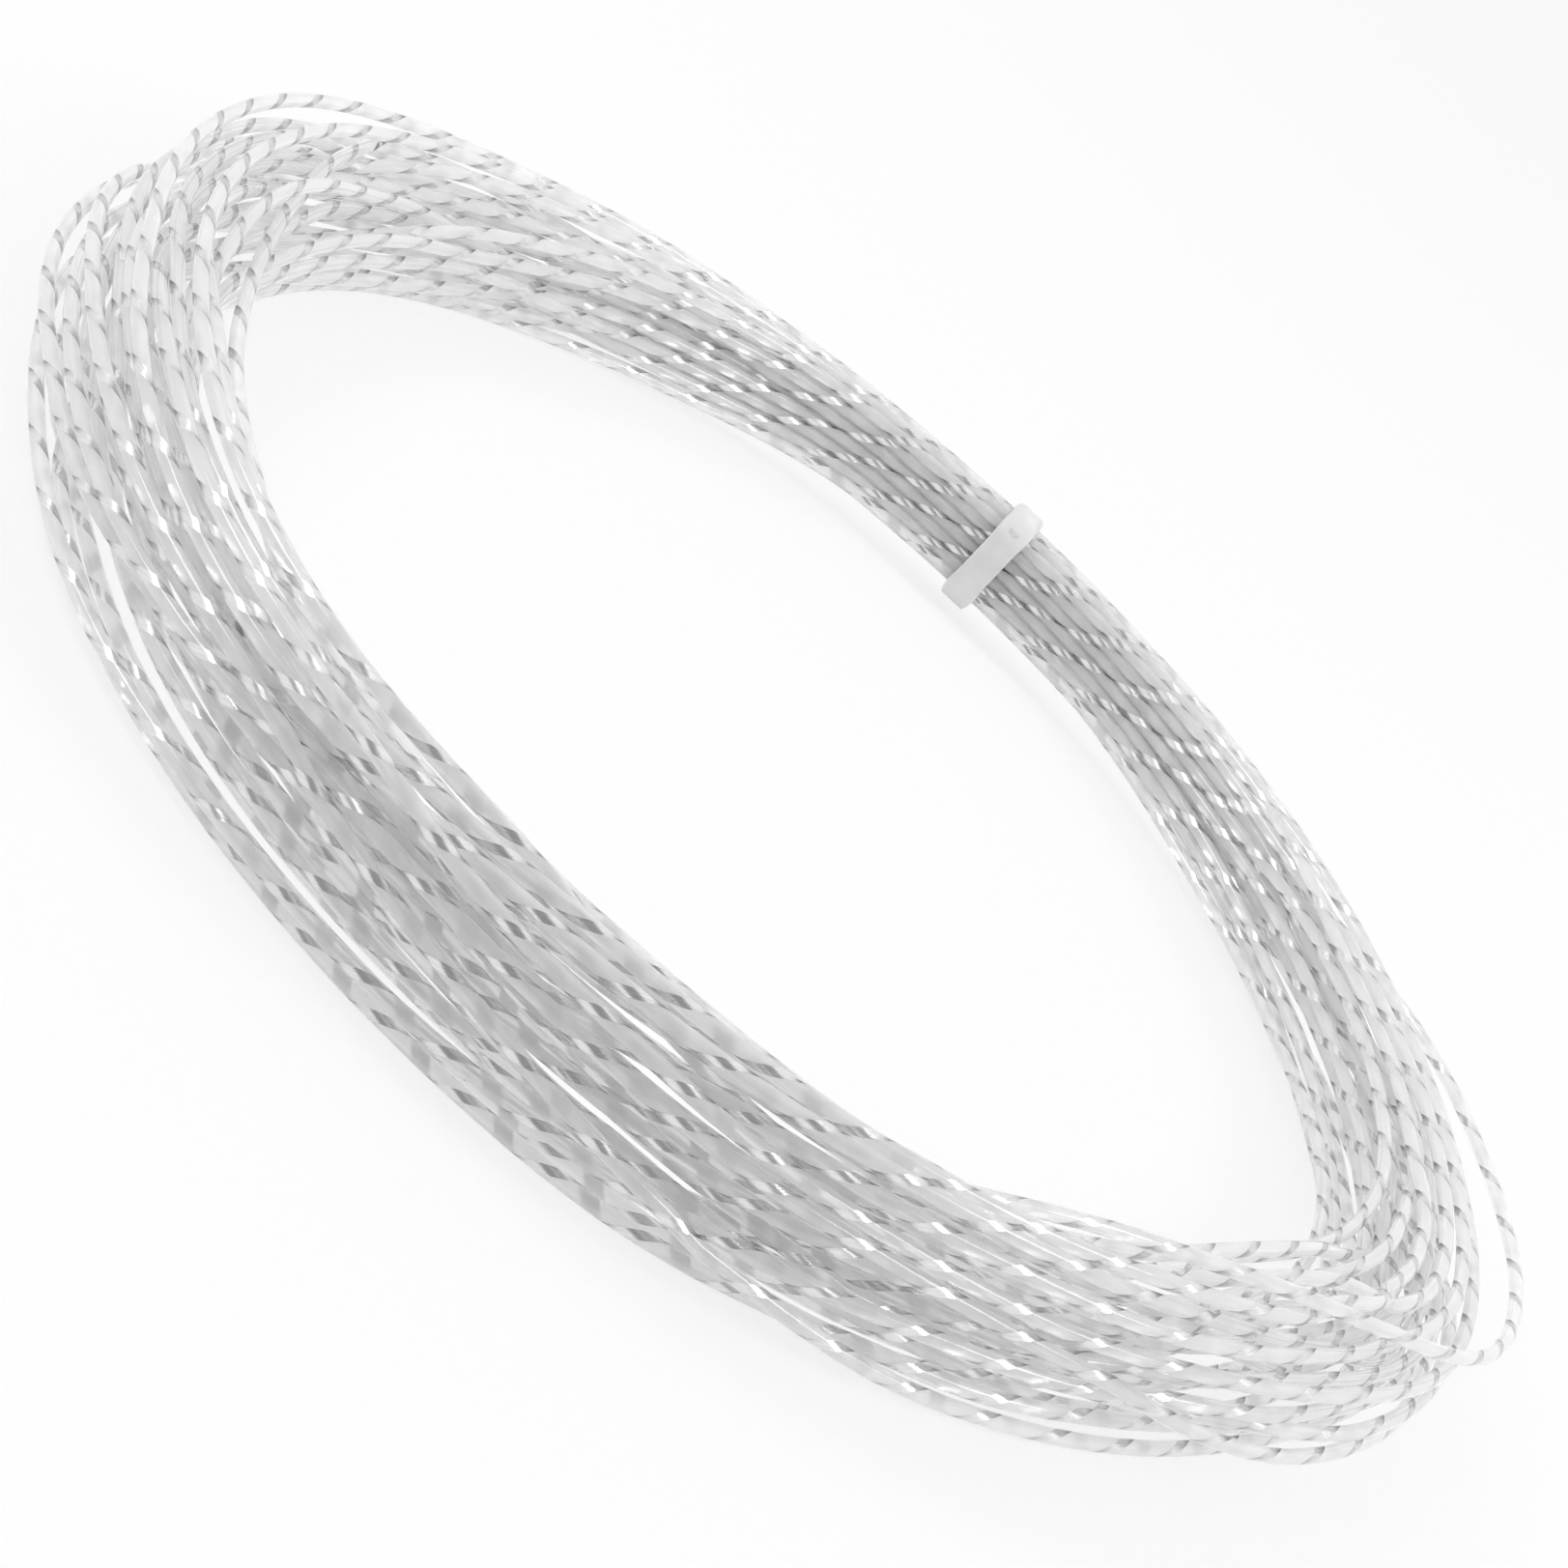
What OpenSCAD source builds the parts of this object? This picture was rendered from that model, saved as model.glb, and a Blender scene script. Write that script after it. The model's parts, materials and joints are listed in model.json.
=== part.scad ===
// A set of racket string, wound into a loose round coil and held by one soft moulded tie.
// Millimetres. The coil lies flat, its axis is Z, and the tie sits at the far side (+Y).
// The tie squeezes the turns into a neat stack; away from it they spread out like a fan.

/* [String] */
// Diameter of the string (16 gauge is 1.30)
string_d = 1.3; // [1.1:0.05:1.4]

/* [Bundle inside the tie] */
// Strings that stand one above another in each layer inside the tie
rows = 7; // [5:1:9]
// Strings that lie side by side inside the tie
layers = 4; // [3:1:5]
// Length of the neat, parallel stretch of the bundle, in degrees round the coil
seat_arc = 28; // [24:1:36]

/* [Coil] */
// Radius of the coil at the tie, from its axis to the middle of the bundle
coil_r = 73; // [66:1:90]
// Height of the loosened bundle at the side opposite the tie
near_h = 17.5; // [15:0.5:20]
// Thickness of the loosened bundle at the side opposite the tie
near_t = 9; // [7:0.5:12]
// Thickness of the fan of strings at the coil's left end
left_t = 18; // [13:0.5:20]
// Thickness of the fan of strings at the coil's right end
right_t = 16; // [12:0.5:18]
// Depth of the groove between two strings on the coil's skin
groove = 0.5; // [0.3:0.05:0.6]

/* [Tie] */
// Width of the tie along the bundle, at its middle
tie_w = 3.35; // [3:0.05:4.5]
// Wall of the tie beside the bundle
tie_wall = 0.9; // [0.7:0.1:1.3]
// Wall of the tie at its rounded knob, above the bundle
tie_knob = 1.1; // [1:0.1:1.8]
// Wall of the tie at its square foot, under the bundle
tie_foot = 0.7; // [0.6:0.05:1.4]
// Width of the knob, and of the shoulders above the foot
knob_w = 3.6; // [3.4:0.05:4.6]
// Width of the foot
foot_w = 2.7; // [2.2:0.1:3.4]
// How far round the coil the tie stands from +Y, in degrees
tie_turn = 0.7; // [-2:0.1:2]
// Gap between the tie and the bundle
tie_gap = 0.2; // [0.15:0.05:0.4]
// Diameter of the moulding mark in the knob
mark_d = 1.2; // [0.6:0.1:1.4]

/* [Output] */
// Which sub-part to draw

/* [Hidden] */

string_colour = [0.86, 0.87, 0.88];
loose_colour = [0.74, 0.77, 0.80];
tie_colour = [0.96, 0.96, 0.95];

// The stack inside the tie: every other layer sits half a string higher, in the next one's grooves
pack_h = (rows + 0.5) * string_d;
pack_t = string_d * (1 + (layers - 1) * cos(30));

// The coil's centre, which puts the middle of the whole part at the origin
coil_x = -0.52;
coil_y = 0.07;

// The tie hangs just clear of the surface that the coil lies on
tie_clear = 2.2;
seat_z = tie_clear + tie_foot + tie_gap;
pack_z = seat_z + pack_h / 2;

// The bundle's sections, one every 30 degrees from the tie, anticlockwise seen from above:
// [change of radius, lift, thickness, height]. Those between the named ones are shares of them.
// Where the lift is a little below zero, the lowest strings lie flat on the surface.
stations = [
    [0.0,  seat_z, pack_t,         pack_h],
    [-2.0, 1.0,    pack_t * 1.3,   near_h * 0.72],
    [-3.9, -0.2,   left_t * 0.86,  near_h * 0.82],
    [-4.0, -0.2,   left_t,         near_h * 0.97],
    [-1.5, 1.2,    left_t * 0.68,  near_h * 0.96],
    [0.8,  -0.2,   near_t * 0.88,  near_h * 0.98],
    [-1.0, -0.2,   near_t,         near_h],
    [-3.8, 0.4,    near_t * 0.65,  near_h],
    [-7.3, 0.6,    right_t * 1.03, near_h],
    [-5.2, 0.6,    right_t * 0.95, near_h * 0.77],
    [-3.5, -0.2,   right_t * 0.72, near_h * 0.78],
    [-1.3, 1.2,    pack_t * 1.2,   near_h * 0.72]
];
step = 360 / len(stations);

// The skin: one lobe for each string that shows, three points to a lobe
lobes = 22;
lobe_turns = 4;      // lobes that the skin has shifted by, once round the coil
lobe_edge = 0.3;     // where the flank of a lobe ends, as a share of the lobe
skin_rings = 58;

// Rounding of the tie: its knob seen from the front, and its upright edges inside and outside
// the coil. The moulding mark is a shallow dimple.
knob_round = 1.4;
inner_edge = 0.4;
outer_edge = 1.1;
mark_deep = 0.3;

// Routes of the two strings that stray from the bundle, round numbers in the coil's own axes.
// The outer one swings wide at the right end and comes back over the top of the coil.
loose_route = [
    [40, 62, 8], [52, 57.5, 9.5], [64.5, 47.5, 10], [73, 35, 10], [77.8, 20, 10.5],
    [78, 4, 12], [75, -10, 13.8], [69.5, -21.5, 15.8], [62, -31, 17.4], [54, -39.5, 18.4],
    [46, -47.5, 18.7], [37.5, -55, 18.2], [28, -62, 16]
];
// The inner one cuts the corner inside the left end.
inner_route = [
    [-68, 24, 12], [-66.8, 9, 12.8], [-63.8, -6, 12.6], [-60, -19, 12.4], [-55.4, -31, 12.4],
    [-50, -41.5, 12.8], [-43, -51.5, 13.4], [-34.5, -61.5, 13.6]
];
tube_sides = 8;
tube_cuts = 3;       // rings added between two points of a route

// ---- helpers ----

// Catmull-Rom blend of four values, f from 0 to 1 between b and c
function blend(a, b, c, d, f) =
    b + 0.5 * f * (c - a + f * (2 * a - 5 * b + 4 * c - d + f * (3 * (b - c) + d - a)));

// The bundle's section at an angle from the tie: straight inside the seat, blended outside it
function section(turn) =
    let (w = (turn + 360) % 360,
         n = len(stations),
         i = min(floor(w / step), n - 1),
         low = i == 0 ? seat_arc / 2 : 0,
         high = i == n - 1 ? step - seat_arc / 2 : step,
         f = max(0, min(1, (w - i * step - low) / (high - low))),
         a = stations[i == 0 ? 0 : i - 1],
         b = stations[i],
         c = stations[(i + 1) % n],
         d = stations[i == n - 1 ? 0 : (i + 2) % n])
    blend(a, b, c, d, f);

// A point of a rounded rectangle, half sizes a and b, corner radius r, at a share s of its edge.
// It starts at the middle of the outer side and runs upwards.
function quarter(d, a, b, r) =
    d < b - r ? [a, d]
    : d < b - r + PI * r / 2
        ? let (w = (d - b + r) / r * 180 / PI) [a - r + r * cos(w), b - r + r * sin(w)]
        : [max(0, a - r - (d - b + r - PI * r / 2)), b];
function edge(s, a, b, r) =
    let (q = a + b - 2 * r + PI * r / 2,
         t = (s - floor(s)) * 4,
         k = min(3, floor(t)),
         f = t - k,
         p = quarter((k % 2 == 0 ? f : 1 - f) * q, a, b, r))
    [k == 1 || k == 2 ? -p[0] : p[0], k > 1 ? -p[1] : p[1]];

// The skin's outline in one section, as [out, up] from the middle of the bundle
function skin(t, h, shift) =
    let (a = t / 2, b = h / 2, r = min(a, b) * 0.8)
    [for (k = [0 : lobes - 1], j = [0 : 2])
        let (g = [0, lobe_edge, 1 - lobe_edge][j],
             s = (k + g + shift) / lobes,
             p = edge(s, a, b, r),
             c = [max(-a + r, min(a - r, p[0])), max(-b + r, min(b - r, p[1]))],
             n = (p - c) / max(0.001, norm(p - c)))
        j == 0 ? p - n * groove : p];

// ---- sub-parts ----

// The neat stretch that the tie grips: one outline, revolved about the coil's axis
module tied_stack() {
    color(string_colour)
    translate([coil_x, coil_y, 0])
    rotate([0, 0, 90 - seat_arc / 2])
    rotate_extrude(angle = seat_arc, $fn = 180)
    translate([coil_r, pack_z])
    polygon(skin(pack_t, pack_h, 0));
}

// The rest of the bundle: a loft that leaves one end of the stack, fans out and comes back
// to the other end, while its lobes creep round the section as the strings do
module string_coil() {
    first = seat_arc / 2;
    span = 360 - seat_arc;
    n = 3 * lobes;
    points = [for (i = [0 : skin_rings])
        let (w = first + span * i / skin_rings,
             s = section(w),
             r0 = coil_r + s[0],
             z0 = s[1] + s[3] / 2)
        for (p = skin(s[2], s[3], lobe_turns * i / skin_rings))
            [(r0 + p[0]) * cos(90 + w), (r0 + p[0]) * sin(90 + w), max(0, z0 + p[1])]];
    sides = [for (i = [0 : skin_rings - 1], j = [0 : n - 1])
        let (a = i * n + j, b = i * n + (j + 1) % n)
        each [[a, b, a + n], [b, b + n, a + n]]];
    // a point in the middle of each end, for the end caps
    ends = [for (w = [first, first + span])
        [coil_r * cos(90 + w), coil_r * sin(90 + w), pack_z]];
    c = len(points);
    color(string_colour)
    translate([coil_x, coil_y, 0])
    polyhedron(concat(points, ends), concat(sides,
        [for (j = [0 : n - 1]) [c, (j + 1) % n, j]],
        [for (j = [0 : n - 1]) [c + 1, skin_rings * n + j, skin_rings * n + (j + 1) % n]]),
        convexity = 6);
}

// One stray length of string, swept along its route
module stray(route) {
    n = len(route);
    path = [for (i = [0 : n - 2], k = [0 : tube_cuts - 1])
                blend(route[max(0, i - 1)], route[i], route[i + 1], route[min(n - 1, i + 2)],
                      k / tube_cuts),
            route[n - 1]];
    m = len(path);
    points = [for (i = [0 : m - 1])
        let (t = path[min(m - 1, i + 1)] - path[max(0, i - 1)],
             f = t / norm(t),
             side = cross(f, [0, 0, 1]) / norm(cross(f, [0, 0, 1])),
             up = cross(side, f))
        for (j = [0 : tube_sides - 1])
            path[i] + string_d / 2 * (cos(360 * j / tube_sides) * side + sin(360 * j / tube_sides) * up)];
    sides = [for (i = [0 : m - 2], j = [0 : tube_sides - 1])
        let (a = i * tube_sides + j, b = i * tube_sides + (j + 1) % tube_sides)
        [a, b, b + tube_sides, a + tube_sides]];
    polyhedron(points, concat(sides,
        [[for (j = [tube_sides - 1 : -1 : 0]) j]],
        [[for (j = [0 : tube_sides - 1]) (m - 1) * tube_sides + j]]), convexity = 4);
}

module loose_turn() {
    color(loose_colour) translate([coil_x, coil_y, 0]) stray(loose_route);
}

module inner_turn() {
    color(loose_colour) translate([coil_x, coil_y, 0]) stray(inner_route);
}

// A rectangle with its own radius at the top and at the bottom corners
module slab(w, low, high, r_low, r_high) {
    union() {
        translate([-w / 2 + r_low, low]) square([w - 2 * r_low, high - low - r_high]);
        translate([-w / 2 + r_high, low + r_low]) square([w - 2 * r_high, high - low - r_low]);
        translate([-w / 2, low + r_low]) square([w, high - low - r_low - r_high]);
        for (s = [-1, 1]) {
            translate([s * (w / 2 - r_low), low + r_low]) circle(r_low, $fn = 48);
            translate([s * (w / 2 - r_high), high - r_high]) circle(r_high, $fn = 48);
        }
    }
}

// The tie seen from inside the coil: a square foot, shoulders, a straight band and a round knob
module tie_face(bottom, top) {
    shoulder = bottom + tie_foot;
    waist = pack_h / 4;
    head = top - knob_w / 2;
    polygon([
        [-foot_w / 2, bottom], [foot_w / 2, bottom], [tie_w / 2, shoulder],
        [knob_w / 2, shoulder + tie_foot], [tie_w / 2, -waist], [tie_w / 2, waist],
        [knob_w / 2, head], [-knob_w / 2, head],
        [-tie_w / 2, waist], [-tie_w / 2, -waist], [-knob_w / 2, shoulder + tie_foot],
        [-tie_w / 2, shoulder]
    ]);
    slab(knob_w, head - knob_round, top, knob_round, knob_round);
}

// The tie: a racetrack band, cut to its side view, its front view and its view from above
module tie() {
    in_t = pack_t + 2 * tie_gap;
    in_h = pack_h + 2 * tie_gap;
    out_t = in_t + 2 * tie_wall;
    top = in_h / 2 + tie_knob;
    bottom = -in_h / 2 - tie_foot;
    color(tie_colour)
    translate([coil_x, coil_y, 0])
    rotate([0, 0, tie_turn])
    translate([0, coil_r, pack_z])
    difference() {
        intersection() {
            // side view: the wall round the bundle
            rotate([90, 0, 90])
            linear_extrude(knob_w + 1, center = true)
            difference() {
                slab(out_t, bottom, top, tie_wall * 0.5, out_t * 0.42);
                slab(in_t, -in_h / 2, in_h / 2, string_d * 0.3, in_t * 0.3);
            }
            // front view
            rotate([90, 0, 0])
            linear_extrude(out_t + 1, center = true)
            tie_face(bottom, top);
            // view from above: upright edges taken off round
            translate([0, 0, bottom])
            linear_extrude(top - bottom)
            slab(knob_w, -out_t / 2, out_t / 2, inner_edge, outer_edge);
        }
        // moulding mark in the knob's inner face
        translate([0, -out_t / 2 - 1, in_h / 2 - mark_d / 2])
        rotate([-90, 0, 0])
        cylinder(d = mark_d, h = 1 + mark_deep, $fn = 32);
    }
}

tied_stack();
string_coil();
loose_turn();
inner_turn();
tie();
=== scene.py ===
# %% [markdown]
# # A coil of clear racket string
#
# Twelve metres of nylon string are wound into a ring and held by one small soft tie. The string is
# clear, and a narrow silver ribbon runs round its core like the stripe of a barber's pole.
# This lesson builds that string as one unbroken tube, gives it its ribbon, and then works on how
# clear nylon, silver foil and moulded plastic take the light.
#
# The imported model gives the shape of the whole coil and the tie. Everything here is in metres.

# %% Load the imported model
import json
import math

import bpy
import numpy as np
from mathutils import Matrix, Vector


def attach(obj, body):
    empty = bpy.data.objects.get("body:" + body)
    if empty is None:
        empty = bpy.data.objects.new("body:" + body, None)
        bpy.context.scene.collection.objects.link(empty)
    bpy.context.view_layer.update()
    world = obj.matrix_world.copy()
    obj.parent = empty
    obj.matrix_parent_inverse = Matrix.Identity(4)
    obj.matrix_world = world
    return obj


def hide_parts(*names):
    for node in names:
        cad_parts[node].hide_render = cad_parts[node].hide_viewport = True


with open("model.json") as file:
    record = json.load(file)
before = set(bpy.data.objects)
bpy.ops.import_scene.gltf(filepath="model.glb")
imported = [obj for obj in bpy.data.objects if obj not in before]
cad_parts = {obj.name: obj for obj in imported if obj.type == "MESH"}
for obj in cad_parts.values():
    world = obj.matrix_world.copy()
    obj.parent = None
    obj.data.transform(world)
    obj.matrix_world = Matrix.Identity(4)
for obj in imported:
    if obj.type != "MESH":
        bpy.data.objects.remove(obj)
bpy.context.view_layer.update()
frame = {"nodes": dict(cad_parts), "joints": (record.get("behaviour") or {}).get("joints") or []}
MM = 0.001

# %% [markdown]
# ## The camera
#
# The coil is seen from close by and a little above, with the camera rolled well over to one side,
# so that the ring runs across the view from corner to corner. A camera can be placed by turning
# it with three angles, but those are hard to read when it is rolled. Here its three axes are worked
# out instead: the way it looks, then the level right and upright directions, then both turned by
# the roll. The tie hangs at the far side of the coil, away from the camera.

# %% Place the camera
coil_axis = np.array(frame["joints"][0]["pos_m"])
look_down = math.radians(22.05)
roll = math.radians(43.51)
view_angle = math.radians(24.72)
aim_height = 7.2 * MM
distance = 309.25 * MM
nearest_seen = 10 * MM
shift = (-0.0199, -0.0186)              # in widths of the view

look = np.array([0, math.cos(look_down), -math.sin(look_down)])
level = np.array([1.0, 0, 0])
upright = np.cross(level, look)
right = math.cos(roll) * level + math.sin(roll) * upright
up = math.cos(roll) * upright - math.sin(roll) * level
place = coil_axis + [0, 0, aim_height] - look * distance

camera = bpy.data.objects.new("camera", bpy.data.cameras.new("camera"))
camera.matrix_world = Matrix([
    [right[i], up[i], -look[i], place[i]] for i in range(3)
] + [[0, 0, 0, 1]])
camera.data.sensor_fit = "HORIZONTAL"
camera.data.angle_x = view_angle
camera.data.shift_x, camera.data.shift_y = shift
camera.data.clip_start = nearest_seen
bpy.context.scene.collection.objects.link(camera)
bpy.context.scene.camera = camera
print("camera at", np.round(place / MM, 1), "mm")

# %% [markdown]
# ## How much room the string has
#
# The turns are packed tight in the tie and fan out everywhere else, in a loose bundle whose width
# and height change all the way round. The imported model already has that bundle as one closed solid.
# Its corner points lie in rings, one ring at each angle, so the room for the string can be measured
# from them: the inner and outer radius and the lowest and highest point of each ring.
# Angles are counted from the tie, anticlockwise seen from above.

# %% Measure the bundle
def from_tie(points):
    """Angle from the tie in degrees, radius and height of each point about the coil's axis."""
    away = points - coil_axis
    turn = np.degrees(np.arctan2(-away[:, 0], away[:, 1])) % 360
    return turn, np.hypot(away[:, 0], away[:, 1]), away[:, 2]


def rings(name, fewest=20):
    """[angle, inner and outer radius, lowest and highest point] of each ring of a lofted solid."""
    corners = np.array([v.co for v in frame["nodes"][name].data.vertices])
    turn, radius, height = from_tie(corners)
    angles, member = np.unique(np.round(turn, 1), return_inverse=True)
    found = []
    for i, angle in enumerate(angles):
        r, z = radius[member == i], height[member == i]
        if len(r) >= fewest:
            found.append([angle, r.min(), r.max(), z.min(), z.max()])
    return np.array(found)


ring_table = rings("string_coil")       # its first and last ring are the two ends of the stack
print(len(ring_table), "rings, bundle", np.round(ring_table[:, 1:].min(0) / MM, 1), "to",
      np.round(ring_table[:, 1:].max(0) / MM, 1), "mm")

# %% [markdown]
# ## Where each strand crosses the tie
#
# Twenty-seven turns cross the tie twenty-eight times, because both ends of the string are tucked
# into it. Inside the tie the strands lie like stacked logs: four layers of seven, every other layer
# half a string higher, in the grooves of the next. A winder fills such a bundle layer by layer, up
# one and down the next, with a strand out of order here and there.
# The two ends sit in the middle layers, where the real ones are hidden.

# %% Give each crossing its place in the stack
string_d = 1.3 * MM
layers = 4
rows = 7
row_shift = 0.25                        # strings, up in every other layer and down in the rest
swaps = 8                               # strands that lie out of order
turns = layers * rows - 1
layer_step = string_d * math.cos(math.radians(30))      # a strand sits in the groove of two others
stack_t = string_d + (layers - 1) * layer_step
stack_h = (rows + 0.5) * string_d

order = []
for place_in_order, layer in enumerate([1, 0, 3, 2]):
    upwards = range(rows) if place_in_order % 2 == 0 else range(rows - 1, -1, -1)
    order += [(layer, row) for row in upwards]

chance = np.random.default_rng(7)
for swap in range(swaps):
    i = chance.integers(1, turns - 3)
    order[i], order[i + 2] = order[i + 2], order[i]

seats = np.array([
    [(layer - (layers - 1) / 2) * layer_step,
     (row - (rows - 1) / 2 + (row_shift if layer % 2 else -row_shift)) * string_d]
    for layer, row in order
])
print(len(seats), "places, stack", round(stack_t / MM, 2), "by", round(stack_h / MM, 2), "mm")

# %% [markdown]
# ## A first guess at the turns
#
# Each turn is followed in steps of a little over two degrees. At every step a strand has a place in
# the bundle's cross-section: how far out it lies from the bundle's middle and how far up. In the
# tie that is its place in the stack. Outside the tie it drifts from the place where it left the
# stack to the place where it comes back, and wanders on the way in a few slow waves, as string
# does that has been wound by hand and has sprung open.

# %% Room at every step
cuts = 160                              # steps in one turn
angle = np.arange(cuts) * 360 / cuts
table = [np.interp(angle, ring_table[:, 0], ring_table[:, i], period=360) for i in (1, 2, 3, 4)]
middle_r = (table[0] + table[1]) / 2
middle_z = (table[2] + table[3]) / 2
half_t = (table[1] - table[0]) / 2
half_h = (table[3] - table[2]) / 2
room = np.stack([half_t, half_h], -1)
print("bundle", round(2 * half_t.min() / MM, 1), "to", round(2 * half_t.max() / MM, 1), "mm thick")

# %% Drift from one place in the stack to the next
drift_begins = (0.10, 0.42)             # share of a turn, different for every turn
drift_lasts = (0.38, 0.52)


def ease(x):
    """Goes from 0 to 1 with no kink at either end."""
    x = np.clip(x, 0, 1)
    return x * x * x * (x * (6 * x - 15) + 10)


share = np.arange(cuts) / cuts
begin = chance.uniform(*drift_begins, turns)[:, None]
length_of_drift = chance.uniform(*drift_lasts, turns)[:, None]
drift = ease((share - begin) / length_of_drift)[..., None]
in_stack = seats[:-1, None] * (1 - drift) + seats[1:, None] * drift
print(turns, "turns of", cuts, "steps")

# %% Wander in slow waves
held_half = 14.0                        # degrees each side of the tie's middle
opening = 60                            # degrees over which a held strand comes free
wave_size = 0.34                        # of half the bundle's width, for the slowest wave
wave_fall = 0.7                         # how fast quicker waves get smaller
aim_inwards = [0.12, 0.07]              # how far inside the outline the free strands aim

from_middle = np.minimum(angle, 360 - angle)
free = ease((from_middle - held_half) / opening)
held = from_middle <= held_half

wave = np.zeros((turns, cuts, 2))
for m in (1, 2, 3):
    for swing in (np.cos, np.sin):
        size = chance.normal(0, wave_size / m ** wave_fall, (turns, 1, 2))
        wave += size * swing(2 * math.pi * m * share)[:, None]

in_stack_share = in_stack / (np.array([stack_t, stack_h]) / 2)
wish = (in_stack_share + free[:, None] * wave) * room * (1 - free[:, None] * aim_inwards)
print(held.sum(), "steps are held by the tie,", (free == 1).sum(), "are quite free")

# %% [markdown]
# ## Two strands that stray
#
# One outer turn stands off the bundle at the right end of the coil and comes back over its top.
# One inner turn cuts the corner inside the left end. Their routes are short lists of points, round
# numbers in millimetres about the coil's own axis, and a smooth curve runs through them. At the
# steps that a route covers, its strand is pinned to the route and the other strands make way.

# %% The two routes
outer_route = [
    [40, 62, 8], [52, 57.5, 9.5], [64.5, 47.5, 10], [73, 35, 10], [77.8, 20, 10.5],
    [78, 4, 12], [75, -10, 13.8], [69.5, -21.5, 15.8], [62, -31, 17.4], [54, -39.5, 18.4],
    [46, -47.5, 18.7], [37.5, -55, 18.2], [28, -62, 16],
]
inner_route = [
    [-68, 24, 12], [-66.8, 9, 12.8], [-63.8, -6, 12.6], [-60, -19, 12.4], [-55.4, -31, 12.4],
    [-50, -41.5, 12.8], [-43, -51.5, 13.4], [-34.5, -61.5, 13.6],
]
print("routes of", len(outer_route), "and", len(inner_route), "points")

# %% A smooth curve through a route

def smooth_route(route, between=24):
    """A curve through every point of a route, with more points between them."""
    p = np.array(route, float) * MM
    p = np.concatenate([[2 * p[0] - p[1]], p, [2 * p[-1] - p[-2]]])
    f = np.linspace(0, 1, between, endpoint=False)[:, None]
    parts = [
        b + 0.5 * f * (c - a + f * (2 * a - 5 * b + 4 * c - d + f * (3 * (b - c) + d - a)))
        for a, b, c, d in zip(p[:-3], p[1:-2], p[2:-1], p[3:])
    ]
    return np.concatenate(parts + [p[-2:-1]]) + [coil_axis[0], coil_axis[1], 0]


def route_in_bundle(route):
    """Which steps a route covers, and its place in the bundle's cross-section at each of them."""
    turn, radius, height = from_tie(smooth_route(route))
    by_turn = np.argsort(turn)
    turn, radius, height = turn[by_turn], radius[by_turn], height[by_turn]
    covered = (angle >= turn[0]) & (angle <= turn[-1])
    out = np.interp(angle, turn, radius) - middle_r
    upwards = np.interp(angle, turn, height) - middle_z
    return covered, np.stack([out, upwards], -1)


# %% Pin the strands
outermost = (3, 4)                      # layer and row in the stack of the turn that strays outwards
innermost = (0, 4)
pinned = np.zeros((turns, cuts), bool)
pin_place = np.zeros((turns, cuts, 2))
pinned[:, held] = True
pin_place[:, held] = in_stack[:, held]
for route, seat in ((outer_route, outermost), (inner_route, innermost)):
    k = order[:-1].index(seat)
    covered, where = route_in_bundle(route)
    pinned[k, covered] = True
    pin_place[k, covered] = where[covered]
    wish[k] = np.stack([
        np.interp(angle, angle[pinned[k]], pin_place[k, pinned[k], i], period=360) for i in (0, 1)
    ], -1)
    print("turn", k, "is pinned at", covered.sum(), "steps")
stray = pinned[:, ~held].any(axis=1)

# %% [markdown]
# ## Let the strands settle
#
# The first guess has strands that run through each other. They are put right the way a cloth
# solver does it, a little at a time: every step pulls each strand towards its wish, smooths it
# along its length because nylon is springy, pushes apart each pair that is closer than one string,
# and keeps all of them inside the bundle's rounded outline. After some hundred rounds the strands
# are one string apart in every cross-section. That is not quite enough: where two strands cross at
# a steep angle they are closer than their cross-sections say, so at some twenty crossings they still
# run a little into each other. The two strays bend sharply where they leave their routes.

# %% Smooth a strand along its length
def smooth_along(p, width):
    """Each strand's places averaged with their neighbours along the whole string."""
    reach = int(4 * width)
    weight = np.exp(-0.5 * (np.arange(-reach, reach + 1) / width) ** 2)
    weight /= weight.sum()
    line = p.reshape(-1, 2)
    line = np.concatenate([np.repeat(line[:1], reach, 0), line, np.repeat(line[-1:], reach, 0)])
    out = [np.convolve(line[:, i], weight, "valid") for i in (0, 1)]
    return np.stack(out, -1).reshape(p.shape)


# %% Push pairs apart
pairs = np.triu_indices(turns, 1)
pinned_give = 0.02                      # how much a pinned strand gives way, where a free one has 1


def push_apart(p, distance, strength=0.9):
    """Moves every pair that is too close apart, the free strand of a pair more than a pinned one."""
    gap = p[pairs[1]] - p[pairs[0]]
    length = np.linalg.norm(gap, axis=-1) + 1e-9
    short = np.clip(distance - length, 0, None)
    give = np.where(pinned, pinned_give, 1.0)
    total = give[pairs[0]] + give[pairs[1]]
    move = gap * (strength * short / length / total)[..., None]
    change = np.zeros_like(p)
    np.add.at(change, pairs[0], -move * give[pairs[0]][..., None])
    np.add.at(change, pairs[1], move * give[pairs[1]][..., None])
    return p + change, short.max()


# %% Keep the strands in the bundle
held_corner = 0.3                       # roundness of the outline's corners, of half its width
free_corner = 0.8
corner = (held_corner + (free_corner - held_corner) * free) * np.minimum(half_t, half_h)


def keep_inside(p):
    """Strands stay half a string inside the bundle's rounded outline, but for the two strays."""
    flat = room - corner[:, None]
    base = np.clip(p, -flat, flat)
    out = p - base
    far = np.linalg.norm(out, axis=-1) + 1e-9
    most = corner - string_d / 2
    inside = base + out * np.minimum(1, most / far)[..., None]
    return np.where((stray[:, None] | pinned)[..., None], p, inside)


def pin(p):
    return np.where(pinned[..., None], pin_place, p)


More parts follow.
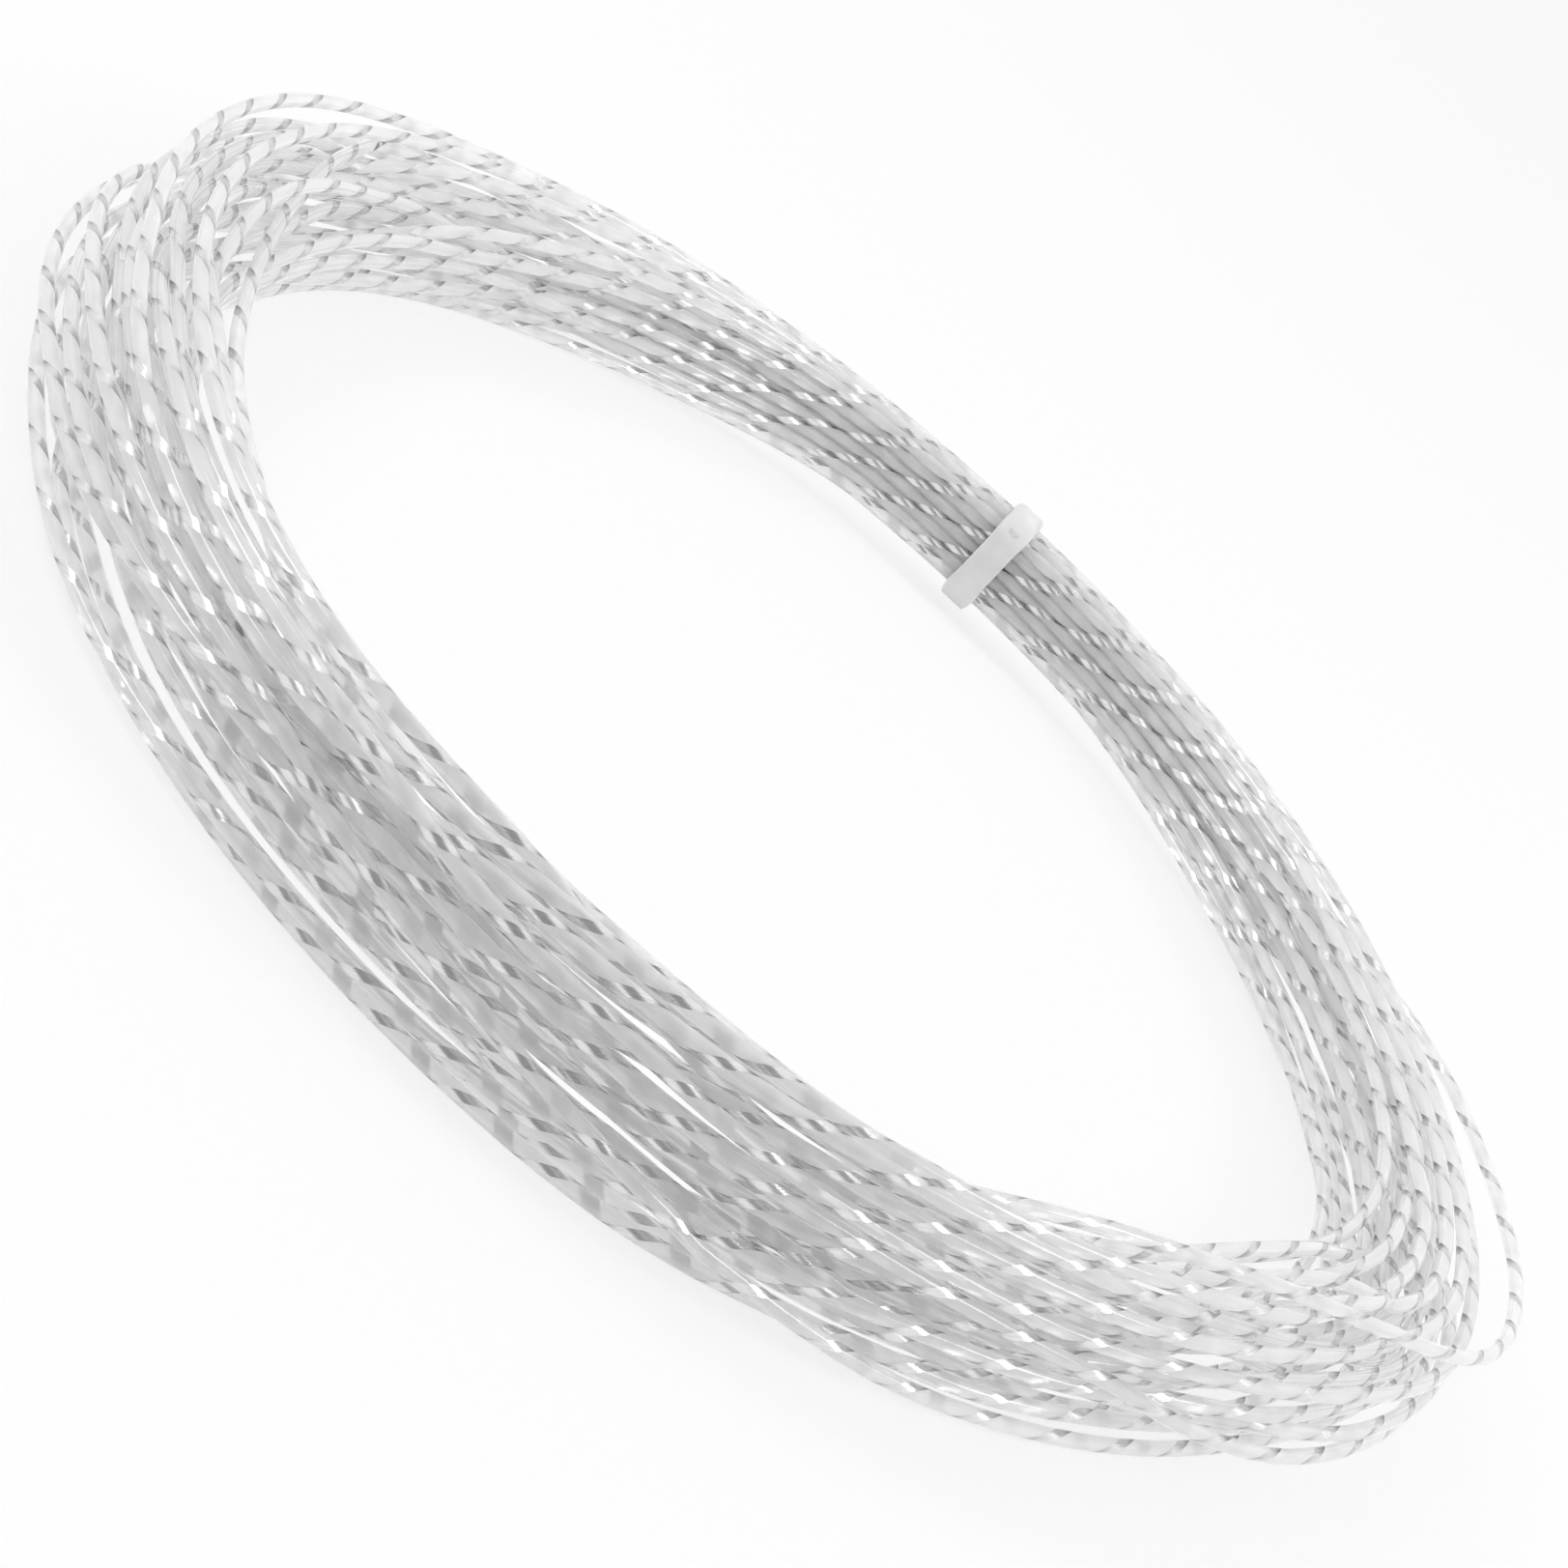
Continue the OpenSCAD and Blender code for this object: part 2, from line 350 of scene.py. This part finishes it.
# %% Settle the turns
rounds = 240
firm_rounds = 0.6 * rounds              # pulled firmly towards the wish, gently after that
firm_pull = 0.06
gentle_pull = 0.015
coarse_rounds = 0.8 * rounds            # smoothed over two steps, over one after that
smoothed_every = 4                      # rounds
keep_apart = 1.03 * string_d
even = np.sqrt(4 * half_t * half_h / turns)       # spacing if the turns share the bundle evenly
even_push = 0.08
start_inwards = 0.14

places = pin(in_stack_share * room * (1 - start_inwards * free[:, None]))
for i in range(rounds):
    pull = firm_pull if i < firm_rounds else gentle_pull
    places = places + pull * (wish - places)
    if i % smoothed_every == 0:
        places = smooth_along(places, 2.0 if i < coarse_rounds else 1.0)
    places, worst = push_apart(places, even, even_push)
    for again in range(2):
        places, worst = push_apart(places, keep_apart)
    places = pin(keep_inside(places))
print("after", rounds, "rounds the closest pair lacks", round(worst / MM, 3), "mm of its room")

# %% Last rounds
last_rounds = 40
last_smoothed = 30                      # no smoothing after this round, so that nothing is undone
halfway = 0.5                           # share of the smoothing that is taken
for i in range(last_rounds):
    places, worst = push_apart(places, keep_apart)
    if i % 6 == 5 and i < last_smoothed:
        places = halfway * (places + smooth_along(places, 0.8))
    places = pin(keep_inside(places))
print("closest pair lies", round((keep_apart - worst) / string_d, 3),
      "strings apart in the cross-section")

# %% [markdown]
# ## The string as one tube
#
# A bevelled curve would draw this string in one line, but the silver ribbon inside has to follow
# the very same frame, and a curve does not tell where that frame is. So the tube is swept here:
# one ring of points at every step, each ring set out by a sideways and an upright direction that
# turn with the string. Rings are joined with four-sided faces and the two cut ends are closed.

# %% Turn the places into one line through space
tail = 3                                # steps by which each end passes the tie
first_tail = np.repeat(seats[:1], tail, 0)
last_tail = np.repeat(seats[-1:], tail + 1, 0)
along = np.concatenate([first_tail, places.reshape(-1, 2), last_tail])
step = np.arange(-tail, turns * cuts + tail + 1)

radius = middle_r[step % cuts] + along[:, 0]
height = middle_z[step % cuts] + along[:, 1]
turned = 2 * math.pi * step / cuts + math.pi / 2
line = np.stack([
    coil_axis[0] + radius * np.cos(turned),
    coil_axis[1] + radius * np.sin(turned),
    height,
], -1)

gaps = np.linalg.norm(np.diff(line, axis=0), axis=1)
run = np.concatenate([[0], np.cumsum(gaps)])
string_length = run[-1]
print("string of", round(string_length, 3), "m, lowest point",
      round((line[:, 2].min() - string_d / 2) / MM, 2), "mm above the surface")

# %% Work out the string's frame
def unit(v):
    return v / np.linalg.norm(v, axis=-1, keepdims=True)


ahead = unit(np.gradient(line, axis=0))
aside = unit(np.cross(ahead, [0, 0, 1.0]))
above = np.cross(aside, ahead)
print("steepest climb", round(math.degrees(math.asin(abs(ahead[:, 2]).max())), 1), "degrees")


# %% Points round the string
def round_the_string(at, turned, radius):
    """Points at a distance along the string, turned about it by an angle, at a radius from its core."""
    middle = np.stack([np.interp(at, run, line[:, i]) for i in range(3)], -1)
    out = np.stack([np.interp(at, run, aside[:, i]) for i in range(3)], -1)
    top = np.stack([np.interp(at, run, above[:, i]) for i in range(3)], -1)
    turned = np.asarray(turned)[..., None]
    return middle + radius * (np.cos(turned) * out + np.sin(turned) * top)


# %% Make a mesh from points
def mesh_piece(name, points, faces, uv=None):
    """A smooth-shaded mesh object; uv gives every face corner its place in metres."""
    mesh = bpy.data.meshes.new(name)
    mesh.from_pydata(np.asarray(points).tolist(), [], faces)
    mesh.shade_smooth()
    if uv is not None:
        layer = mesh.uv_layers.new(name="length and girth")
        layer.data.foreach_set("uv", np.asarray(uv, "f").ravel())
    piece = bpy.data.objects.new(name, mesh)
    bpy.context.scene.collection.objects.link(piece)
    print(name, "has", len(mesh.polygons), "faces")
    return piece


# %% Sweep the string
sides = 16
string_radius = 0.49 * string_d         # a hair under half, so that pressed turns stay apart
girth = 2 * math.pi * np.arange(sides) / sides


def sweep(name, radius, end):
    """A closed tube along the whole string that stops a little short of each cut end."""
    at = np.clip(run, end, string_length - end)
    points = round_the_string(at[:, None], girth[None], radius).reshape(-1, 3)
    ring = np.arange(len(at) - 1)[:, None] * sides
    j = np.arange(sides)[None]
    k = (j + 1) % sides
    quads = np.stack([ring + k, ring + j, ring + sides + j, ring + sides + k], -1).reshape(-1, 4)
    start_cap = list(range(sides))
    end_cap = [(len(at) - 1) * sides + i for i in range(sides)][::-1]
    u = np.stack([at[:-1], at[:-1], at[1:], at[1:]], -1)[:, None].repeat(sides, 1)
    v = np.stack([j + 1, j, j, j + 1], -1)[0][None].repeat(len(at) - 1, 0) / sides
    uv = np.stack([u, v * 2 * math.pi * radius], -1).reshape(-1, 2)
    cap_uv = np.zeros((2 * sides, 2))
    tube = mesh_piece(name, points, quads.tolist() + [start_cap, end_cap],
                      np.concatenate([uv, cap_uv]))
    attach(tube, "coil")
    return tube


string = sweep("string", string_radius, 0)
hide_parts("string_coil", "tied_stack", "loose_turn", "inner_turn")

# %% [markdown]
# ## The core
#
# A string of this kind is not clear right through. Its middle is a bundle of fine fibres, milky
# like frosted glass, and the clear coat goes over it. The core is swept along the same line, and
# stops half a millimetre inside each cut end.

# %% Sweep the core
core_radius = 0.46 * MM
core = sweep("core", core_radius, 0.5 * MM)

# %% [markdown]
# ## The silver ribbon
#
# The stripe is a flat ribbon of metallised film, wound round the core before the clear coat goes
# on, one turn to every eight millimetres or so. A stripe painted on the surface with a wave texture
# would be quicker, but it would sit in the wrong place: through the clear string the ribbon's far
# side is seen as well, swollen by the round of the string, as in a glass rod. A real ribbon inside
# a clear tube gives that by itself. Winding machines slip a little, so the ribbon gains or loses
# part of a turn now and then, and its flashes don't line up from one strand to the next.

# %% Wind the ribbon
ribbon_pitch = 7.75 * MM
ribbon_width = 1.8 * MM                 # lengthways on the string
ribbon_radius = 0.54 * MM
ribbon_steps = 14                       # in one turn
ribbon_end = 0.4 * MM                   # the ribbon stops this far short of each cut end
slip_size = 0.35                        # in turns of the ribbon
slip_places = 32

windings = (string_length - 2 * ribbon_end - ribbon_width) / ribbon_pitch
wind = np.arange(int(windings * ribbon_steps)) / ribbon_steps
middle_at = ribbon_end + ribbon_width / 2 + wind * ribbon_pitch
edges = middle_at[:, None] + np.array([-0.5, 0.5]) * ribbon_width
slips = np.cumsum(chance.normal(0, slip_size, slip_places))
slip = np.interp(middle_at, np.linspace(0, string_length, len(slips)), slips)
twist = 2 * math.pi * (wind + slip)[:, None] * np.ones(2)
strip = round_the_string(edges, twist, ribbon_radius).reshape(-1, 3)

first = 2 * np.arange(len(wind) - 1)[:, None]
strip_faces = first + np.array([0, 1, 3, 2])
wound = 2 * math.pi * ribbon_radius * wind
across = np.array([0, ribbon_width, ribbon_width, 0])
strip_uv = np.stack([
    np.stack([wound[:-1], wound[:-1], wound[1:], wound[1:]], -1),
    np.broadcast_to(across, (len(wind) - 1, 4)),
], -1)
ribbon = mesh_piece("ribbon", strip, strip_faces.tolist(), strip_uv.reshape(-1, 2))
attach(ribbon, "coil")

# %% [markdown]
# ## A cord and what lies in it
#
# The string is a cord of one length: it may be uncoiled, but it never grows or shrinks. Its length and
# thickness are printed here; the core and the ribbon lie along the same line. Both of its ends are bare
# cuts.

# %% Print the cord's length and thickness
print("cord of", round(string_length, 2), "m,", round(string_d / MM, 2), "mm thick")

# %% [markdown]
# ## Materials
#
# Every material here is built from nodes. Four helpers keep that short: one adds a node and names its
# inputs, one starts a material, one makes noise whose spots have a size in millimetres, so that grain
# comes out at its true scale, and one lets such a pattern move a value between two limits.

# %% Add a node
def add_node(tree, kind, settings=None, **inputs):
    """A shader node; inputs are named by their sockets, with _ for a space."""
    made = tree.nodes.new(kind)
    for name, value in (settings or {}).items():
        setattr(made, name, value)
    for name, value in inputs.items():
        socket = made.inputs[name.replace("_", " ")]
        if isinstance(value, bpy.types.NodeSocket):
            tree.links.new(value, socket)
        else:
            socket.default_value = value
    return made


# %% Start a material
def material(name, **inputs):
    """A material with one Principled shader; returns it with its tree and that shader."""
    made = bpy.data.materials.new(name)
    made.use_nodes = True
    shader = made.node_tree.nodes["Principled BSDF"]
    for socket, value in inputs.items():
        shader.inputs[socket.replace("_", " ")].default_value = value
    return made, made.node_tree, shader


# %% Grain of a given size
def grain(tree, place, size, detail=2.0):
    """Noise whose spots have the given size in metres, on the UV map or in the object's space."""
    where = add_node(tree, "ShaderNodeTexCoord").outputs[place]
    scaled = add_node(tree, "ShaderNodeMapping", Vector=where, Scale=[1 / s for s in size])
    noise = add_node(tree, "ShaderNodeTexNoise", Vector=scaled.outputs[0], Scale=1.0, Detail=detail)
    return noise.outputs["Fac"]


# %% A range driven by a pattern
def between(tree, value, low, high, start=0.35, end=0.65):
    """Stretches a pattern's value to run from low to high, which are two numbers or two colours."""
    if isinstance(low, tuple):
        share = add_node(tree, "ShaderNodeMapRange", Value=value, From_Min=start, From_Max=end)
        mix = tree.nodes.new("ShaderNodeMix")
        mix.data_type = "RGBA"
        tree.links.new(share.outputs[0], mix.inputs[0])
        mix.inputs[6].default_value = (*low, 1)         # the colour sockets of this node are
        mix.inputs[7].default_value = (*high, 1)        # its 6th, 7th and, coming out, 2nd
        return mix.outputs[2]
    return add_node(tree, "ShaderNodeMapRange", Value=value, From_Min=start, From_Max=end,
                    To_Min=low, To_Max=high).outputs[0]


# %% [markdown]
# ## The clear coat
#
# The coat is nylon: clear, and so nearly white that a dozen strands on end still let light through.
# Nylon's own index is 1.53. The 1.45 that is used makes the whole coil about one hundredth lighter
# and shows in no other way. The drawing die leaves hair-fine lines along the string, so the
# roughness and a slight bump come from noise that is fifty times longer than it is wide.

# %% Clear nylon
nylon, tree, shader = material("clear nylon", Transmission_Weight=1.0, IOR=1.45)
streaks = grain(tree, "UV", (6 * MM, 0.12 * MM, 1))
cloud = grain(tree, "UV", (40 * MM, 4 * MM, 1), 1.0)
tree.links.new(between(tree, cloud, (0.99, 0.99, 0.99), (1, 1, 1)), shader.inputs["Base Color"])
tree.links.new(between(tree, streaks, 0.01, 0.07), shader.inputs["Roughness"])
ridges = add_node(tree, "ShaderNodeBump", Height=streaks, Distance=0.003 * MM, Strength=0.3)
tree.links.new(ridges.outputs[0], shader.inputs["Normal"])
string.data.materials.append(nylon)
print(nylon.name, "has", len(tree.nodes), "nodes")

# %% [markdown]
# ## The fibres
#
# The core's fibres scatter part of the light and let the rest go straight on. A volume would do the
# same, but it is slow and few viewers can show it, so here it is the surface's alpha that says how
# large the scattered part is. The fibres lie along the string, and so does the grain of their tone.

# %% Milky fibres
fibres, tree, shader = material("milky fibres", Alpha=0.42, Roughness=0.6)
shader.inputs["Specular IOR Level"].default_value = 0.0
strands = grain(tree, "UV", (12 * MM, 0.1 * MM, 1))
tree.links.new(between(tree, strands, (0.95, 0.95, 0.95), (0.99, 0.99, 0.99)),
               shader.inputs["Base Color"])
core.data.materials.append(fibres)
print("the fibres scatter", round(shader.inputs["Alpha"].default_value, 2), "of the light")

# %% [markdown]
# ## The foil
#
# The ribbon is metal on film, woven fine: its face is hatched aslant, which breaks its shine into
# hairs of light and dark. Bands that run aslant across its own UV map drive the bump, and the same
# bands make it a little duller in the grooves.

# %% Silver foil
hatch_pitch = 0.3 * MM
wave_repeat = 2 * math.pi / 20          # a wave texture of scale 1 repeats at this length
foil, tree, shader = material("silver foil", Metallic=1.0)
ribbon_uv = add_node(tree, "ShaderNodeTexCoord").outputs["UV"]
aslant = add_node(tree, "ShaderNodeMapping", Vector=ribbon_uv,
                  Rotation=(0, 0, math.radians(35)))
hatch = add_node(tree, "ShaderNodeTexWave", {"wave_type": "BANDS", "bands_direction": "X"},
                 Vector=aslant.outputs[0], Scale=wave_repeat / hatch_pitch,
                 Distortion=1.5, Detail=1.0, Detail_Scale=2.0).outputs["Fac"]
tarnish = grain(tree, "UV", (2 * MM, 0.5 * MM, 1))
tree.links.new(between(tree, tarnish, (0.74, 0.74, 0.74), (0.81, 0.81, 0.81)),
               shader.inputs["Base Color"])
tree.links.new(between(tree, hatch, 0.26, 0.13, 0, 1), shader.inputs["Roughness"])
weave = add_node(tree, "ShaderNodeBump", Height=hatch, Distance=0.02 * MM, Strength=0.15)
tree.links.new(weave.outputs[0], shader.inputs["Normal"])
ribbon.data.materials.append(foil)
print(foil.name, "is hatched every", round(hatch_pitch / MM, 2), "mm")

# %% [markdown]
# ## The tie
#
# The tie is soft moulded plastic, off-white and a little waxy. It comes straight from the frame, so
# only its material is made here: fine spark-eroded grain as a bump, a slow change of tone, light
# that goes a millimetre deep, and a bevel in the normals alone, since the frame's mesh is kept.

# %% Soft plastic
soft_plastic, tree, shader = material("soft white plastic", Subsurface_Weight=0.25,
                                      Subsurface_Scale=1.0 * MM)
shader.inputs["Subsurface Radius"].default_value = (1, 1, 1)
spark = grain(tree, "Object", (0.15 * MM,) * 3)
tone = grain(tree, "Object", (2.5 * MM,) * 3)
tree.links.new(between(tree, tone, (0.61, 0.61, 0.608), (0.67, 0.67, 0.668)),
               shader.inputs["Base Color"])
tree.links.new(between(tree, spark, 0.42, 0.56), shader.inputs["Roughness"])
soft_edge = add_node(tree, "ShaderNodeBevel", Radius=0.2 * MM).outputs[0]
skin_bump = add_node(tree, "ShaderNodeBump", Height=spark, Distance=0.01 * MM, Strength=0.5,
                     Normal=soft_edge)
tree.links.new(skin_bump.outputs[0], shader.inputs["Normal"])
for slot in frame["nodes"]["tie"].material_slots:
    slot.material = soft_plastic
print(soft_plastic.name, "is on", len(frame["nodes"]["tie"].material_slots), "slot of the tie")

# %% [markdown]
# ## Surroundings
#
# Everything round the coil is white, as in a light tent, because a clear thing shows nothing but
# its surroundings. The table is a plain matt one that is lifted three quarters of the way to white
# for the rays that see it: straight, mirrored or through the string. A faint shadow stays.
# Silver foil in an all-white tent would be one flat pale grey, so a dim card stands where a viewer
# would, and the ribbon shows dark wherever it faces the viewer.

# %% White table
table_size = 3.0
lift = 0.75                             # share of the way to white
bpy.ops.mesh.primitive_plane_add(size=table_size)
table = bpy.context.object
table.name = "table"
matt, tree, shader = material("white table", Roughness=0.8)
paper = grain(tree, "Object", (1 * MM,) * 3)
tree.links.new(between(tree, paper, (0.715, 0.715, 0.715), (0.735, 0.735, 0.735)),
               shader.inputs["Base Color"])

ray = add_node(tree, "ShaderNodeLightPath").outputs
seen = add_node(tree, "ShaderNodeMath", {"operation": "MAXIMUM"})
tree.links.new(ray["Is Camera Ray"], seen.inputs[0])
tree.links.new(ray["Is Glossy Ray"], seen.inputs[1])
seen_or_through = add_node(tree, "ShaderNodeMath", {"operation": "MAXIMUM"})
tree.links.new(seen.outputs[0], seen_or_through.inputs[0])
tree.links.new(ray["Is Transmission Ray"], seen_or_through.inputs[1])
share = add_node(tree, "ShaderNodeMath", {"operation": "MULTIPLY"})
tree.links.new(seen_or_through.outputs[0], share.inputs[0])
share.inputs[1].default_value = lift
glow = add_node(tree, "ShaderNodeEmission", Color=(1, 1, 1, 1), Strength=1.0)
lifted = add_node(tree, "ShaderNodeMixShader", Fac=share.outputs[0])
tree.links.new(shader.outputs[0], lifted.inputs[1])
tree.links.new(glow.outputs[0], lifted.inputs[2])
tree.links.new(lifted.outputs[0], tree.nodes["Material Output"].inputs["Surface"])
table.data.materials.append(matt)
print("table of", table_size, "m, lifted by", lift)

# %% White tent
tent = bpy.data.worlds.new("white tent")
tent.use_nodes = True
bpy.context.scene.world = tent
sky = tent.node_tree.nodes["Background"].inputs
sky["Color"].default_value = (1, 1, 1, 1)
sky["Strength"].default_value = 1.0
print(tent.name, "of strength", sky["Strength"].default_value)


# %% Turn a thing towards the coil
def face_the_coil(thing, round_degrees, up_degrees, away):
    """Puts a lamp or a card at a place on the sky round the coil, facing its middle."""
    a = math.radians(round_degrees)
    e = math.radians(up_degrees)
    towards = Vector((math.cos(e) * math.cos(a), math.cos(e) * math.sin(a), math.sin(e)))
    thing.location = towards * away
    thing.rotation_euler = towards.to_track_quat("Z", "Y").to_euler()


# %% Dim card
card_half = 0.135
card_solid = 0.8                        # share of its half size that is solid, before it fades
card_stretch = 1.4                      # wider than high
card_grey = 0.33
card_mesh = bpy.data.meshes.new("dim card")
card_mesh.from_pydata([(-card_half, -card_half, 0), (card_half, -card_half, 0),
                       (card_half, card_half, 0), (-card_half, card_half, 0)], [], [(0, 1, 2, 3)])
card = bpy.data.objects.new("dim card", card_mesh)
bpy.context.scene.collection.objects.link(card)
face_the_coil(card, round_degrees=-88, up_degrees=26, away=0.19)
card.scale.x = card_stretch
grey, tree, shader = material("dim grey")
tree.nodes.remove(shader)
where = add_node(tree, "ShaderNodeTexCoord").outputs["Object"]
from_centre = add_node(tree, "ShaderNodeVectorMath", {"operation": "LENGTH"})
tree.links.new(where, from_centre.inputs[0])
fade = add_node(tree, "ShaderNodeMapRange", {"interpolation_type": "SMOOTHSTEP"},
                Value=from_centre.outputs["Value"], From_Min=card_half * card_solid,
                From_Max=card_half)
solid = add_node(tree, "ShaderNodeEmission", Color=(card_grey,) * 3 + (1,), Strength=1.0)
clear = add_node(tree, "ShaderNodeBsdfTransparent")
card_mix = add_node(tree, "ShaderNodeMixShader", Fac=fade.outputs[0])
tree.links.new(solid.outputs[0], card_mix.inputs[1])
tree.links.new(clear.outputs[0], card_mix.inputs[2])
tree.links.new(card_mix.outputs[0], tree.nodes["Material Output"].inputs["Surface"])
card_mesh.materials.append(grey)
card.visible_camera = False
card.visible_diffuse = False
card.visible_shadow = False
print("card", round(2 * card_half * card_stretch, 2), "by", 2 * card_half, "m")

# %% [markdown]
# ## Flashes
#
# Two small softboxes, one to each side and halfway up, add about a third to the light on the table.
# They are there for the ribbon, which flashes at the four places round the coil where it mirrors
# one of them.

# %% Softboxes
softbox_size = 0.22
softbox_level = 8.0                     # times as bright as the tent's own white
softbox_up = 45                         # degrees
softbox_away = 0.7
for name, round_degrees in [("right softbox", -6), ("left softbox", -172)]:
    light = bpy.data.lights.new(name, "AREA")
    light.shape = "SQUARE"
    light.size = softbox_size
    light.energy = softbox_level * math.pi * softbox_size ** 2
    lamp = bpy.data.objects.new(name, light)
    bpy.context.scene.collection.objects.link(lamp)
    face_the_coil(lamp, round_degrees, softbox_up, softbox_away)
    print(name, "of", round(light.energy, 2), "watts")

# %% [markdown]
# ## Enough bounces
#
# Light crosses a dozen strands before it comes out, and every strand costs it two or more bounces.
# With the usual limits the whole coil comes out nearly a tenth darker. The renderer also softens each
# refraction that follows a matt bounce, to save on noise. Light that leaves the milky core always
# passes the clear coat next, and that softening would swallow a third of it, so it is switched off.

# %% Bounces and view
bounces = 32
cycles = bpy.context.scene.cycles
cycles.max_bounces = bounces
cycles.transmission_bounces = bounces
cycles.glossy_bounces = bounces
cycles.diffuse_bounces = bounces
cycles.transparent_max_bounces = bounces
cycles.blur_glossy = 0
bpy.context.scene.view_settings.view_transform = "Standard"
print("up to", bounces, "bounces")
